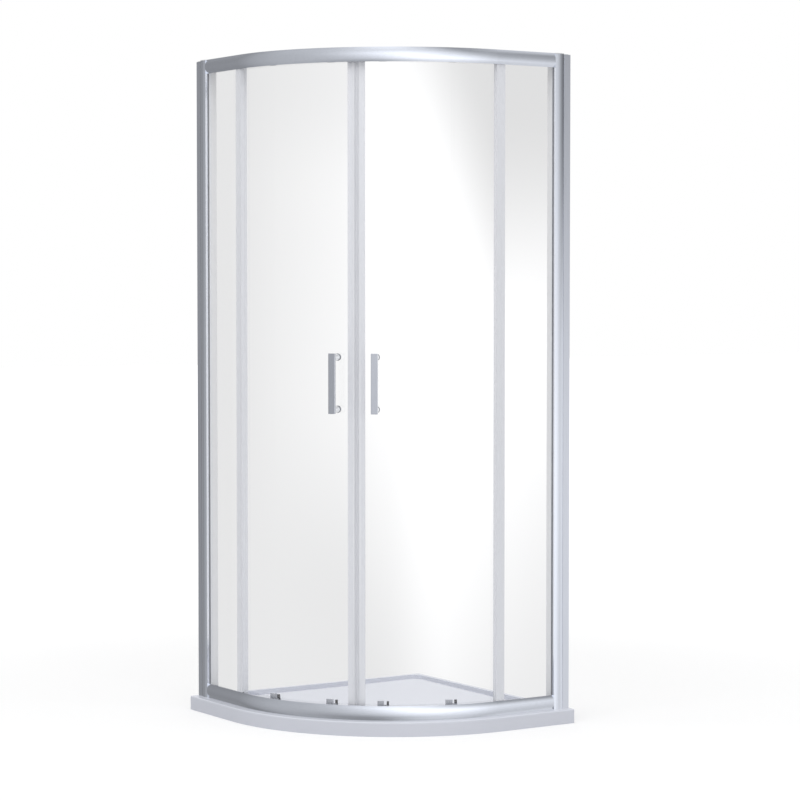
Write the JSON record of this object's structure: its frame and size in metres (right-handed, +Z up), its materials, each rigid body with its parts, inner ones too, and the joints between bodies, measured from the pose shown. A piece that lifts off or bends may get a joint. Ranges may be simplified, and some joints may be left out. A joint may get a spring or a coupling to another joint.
{
  "type": "quadrant shower enclosure",
  "caption": "Corner shower enclosure with a rounded front: low tray, metal frame, fixed side panes and curved sliding glass doors with handles.",
  "frame": {"origin": "centre of the tray's 800 x 800 mm outline, on its underside", "axes": "+Z up; the walls that the enclosure stands against are the planes x = -0.4 m (left) and y = +0.4 m (right); the rounded doors face +X -Y"},
  "size_m": [0.8, 0.8, 1.89],
  "materials": {
    "tray": "gloss white acrylic skin on stone resin",
    "frame": "polished",
    "channel": "polished",
    "cap": "gloss",
    "glass": "clear",
    "gasket": "matte",
    "edge_strip": "translucent, ribbed",
    "seal": "translucent",
    "magnet": "matte",
    "handle": "polished",
    "washer": "matte",
    "screw": "satin",
    "screw_cover": "gloss",
    "setting_block": "matte",
    "buffer": "matte",
    "hanger": "polished",
    "carriage": "satin",
    "axle": "satin",
    "roller_bolt": "polished",
    "wheel": "satin",
    "button": "satin",
    "spring": "bright"
  },
  "bodies": {
    "root": {"shower_tray": "tray", "top_rail": "frame", "bottom_rail": "frame", "wall_channel_left": "channel", "wall_channel_right": "channel", "jamb_left": "frame", "jamb_right": "frame", "jamb_cap_left": "cap", "jamb_cap_right": "cap", "fixed_glass_left": "glass", "fixed_glass_right": "glass", "glass_gasket_left": "gasket", "glass_gasket_right": "gasket", "side_strip_left": "edge_strip", "side_strip_right": "edge_strip", "jamb_screws": "screw", "jamb_screw_covers": "screw_cover", "rail_screws": "screw", "setting_blocks": "setting_block", "rail_buffers": "buffer"},
    "door_left": {"door_glass_left": "glass", "magnetic_seal_left": "seal", "seal_magnet_left": "magnet", "trailing_seal_left": "seal", "handle_bar_left": "handle", "handle_posts_left": "handle", "handle_washers_left": "washer", "handle_bolts_left": "handle", "top_hangers_left": "hanger", "bottom_carriages_left": "carriage", "axles_left": "axle", "roller_bolts_left": "roller_bolt", "button_spring_left_front": "spring", "button_spring_left_rear": "spring"},
    "door_right": {"door_glass_right": "glass", "magnetic_seal_right": "seal", "seal_magnet_right": "magnet", "trailing_seal_right": "seal", "handle_bar_right": "handle", "handle_posts_right": "handle", "handle_washers_right": "washer", "handle_bolts_right": "handle", "top_hangers_right": "hanger", "bottom_carriages_right": "carriage", "axles_right": "axle", "roller_bolts_right": "roller_bolt", "button_spring_right_front": "spring", "button_spring_right_rear": "spring"},
    "top_wheel_left_front": {"top_wheel_left_front": "wheel"},
    "bottom_wheel_left_front": {"bottom_wheel_left_front": "wheel"},
    "top_wheel_left_rear": {"top_wheel_left_rear": "wheel"},
    "bottom_wheel_left_rear": {"bottom_wheel_left_rear": "wheel"},
    "top_wheel_right_front": {"top_wheel_right_front": "wheel"},
    "bottom_wheel_right_front": {"bottom_wheel_right_front": "wheel"},
    "top_wheel_right_rear": {"top_wheel_right_rear": "wheel"},
    "bottom_wheel_right_rear": {"bottom_wheel_right_rear": "wheel"},
    "release_button_left_front": {"release_button_left_front": "button"},
    "release_button_left_rear": {"release_button_left_rear": "button"},
    "release_button_right_front": {"release_button_right_front": "button"},
    "release_button_right_rear": {"release_button_right_rear": "button"}
  },
  "joints": [
    {"name": "door_left_slide", "type": "hinge", "parent": "root", "child": "door_left", "pos_m": [-0.15, 0.15, 0.965], "axis": [0, 0, -1], "range_deg": [0, 20]},
    {"name": "door_right_slide", "type": "hinge", "parent": "root", "child": "door_right", "pos_m": [-0.15, 0.15, 0.965], "axis": [0, 0, 1], "range_deg": [0, 20]},
    {"name": "top_wheel_left_front_spin", "type": "hinge", "parent": "door_left", "child": "top_wheel_left_front", "pos_m": [0.14275, -0.24418, 1.8788], "axis": [0.5962, -0.8028, 0], "range_deg": [0, 1160]},
    {"name": "bottom_wheel_left_front_spin", "type": "hinge", "parent": "door_left", "child": "bottom_wheel_left_front", "pos_m": [0.14275, -0.24418, 0.0512], "axis": [-0.5962, 0.8028, 0], "range_deg": [0, 1160]},
    {"name": "top_wheel_left_rear_spin", "type": "hinge", "parent": "door_left", "child": "top_wheel_left_rear", "pos_m": [-0.02706, -0.32536, 1.8788], "axis": [0.2504, -0.9681, 0], "range_deg": [0, 1160]},
    {"name": "bottom_wheel_left_rear_spin", "type": "hinge", "parent": "door_left", "child": "bottom_wheel_left_rear", "pos_m": [-0.02706, -0.32536, 0.0512], "axis": [-0.2504, 0.9681, 0], "range_deg": [0, 1160]},
    {"name": "top_wheel_right_front_spin", "type": "hinge", "parent": "door_right", "child": "top_wheel_right_front", "pos_m": [0.24418, -0.14275, 1.8788], "axis": [-0.8028, 0.5962, 0], "range_deg": [0, 1160]},
    {"name": "bottom_wheel_right_front_spin", "type": "hinge", "parent": "door_right", "child": "bottom_wheel_right_front", "pos_m": [0.24418, -0.14275, 0.0512], "axis": [0.8028, -0.5962, 0], "range_deg": [0, 1160]},
    {"name": "top_wheel_right_rear_spin", "type": "hinge", "parent": "door_right", "child": "top_wheel_right_rear", "pos_m": [0.32536, 0.02706, 1.8788], "axis": [-0.9681, 0.2504, 0], "range_deg": [0, 1160]},
    {"name": "bottom_wheel_right_rear_spin", "type": "hinge", "parent": "door_right", "child": "bottom_wheel_right_rear", "pos_m": [0.32536, 0.02706, 0.0512], "axis": [0.9681, -0.2504, 0], "range_deg": [0, 1160]},
    {"name": "release_button_left_front_press", "type": "slide", "parent": "door_left", "child": "release_button_left_front", "axis": [0, 0, -1], "range_m": [0, 0.003], "stiffness_N_per_m": 300, "springref_m": -0.002, "deforming": ["button_spring_left_front"]},
    {"name": "release_button_left_rear_press", "type": "slide", "parent": "door_left", "child": "release_button_left_rear", "axis": [0, 0, -1], "range_m": [0, 0.003], "stiffness_N_per_m": 300, "springref_m": -0.002, "deforming": ["button_spring_left_rear"]},
    {"name": "release_button_right_front_press", "type": "slide", "parent": "door_right", "child": "release_button_right_front", "axis": [0, 0, -1], "range_m": [0, 0.003], "stiffness_N_per_m": 300, "springref_m": -0.002, "deforming": ["button_spring_right_front"]},
    {"name": "release_button_right_rear_press", "type": "slide", "parent": "door_right", "child": "release_button_right_rear", "axis": [0, 0, -1], "range_m": [0, 0.003], "stiffness_N_per_m": 300, "springref_m": -0.002, "deforming": ["button_spring_right_rear"]}
  ],
  "couplings": [
    {"joint": "top_wheel_left_front_spin", "follows": "door_left_slide", "ratio": 57.765},
    {"joint": "bottom_wheel_left_front_spin", "follows": "door_left_slide", "ratio": 57.765},
    {"joint": "top_wheel_left_rear_spin", "follows": "door_left_slide", "ratio": 57.765},
    {"joint": "bottom_wheel_left_rear_spin", "follows": "door_left_slide", "ratio": 57.765},
    {"joint": "top_wheel_right_front_spin", "follows": "door_right_slide", "ratio": 57.765},
    {"joint": "bottom_wheel_right_front_spin", "follows": "door_right_slide", "ratio": 57.765},
    {"joint": "top_wheel_right_rear_spin", "follows": "door_right_slide", "ratio": 57.765},
    {"joint": "bottom_wheel_right_rear_spin", "follows": "door_right_slide", "ratio": 57.765}
  ]
}
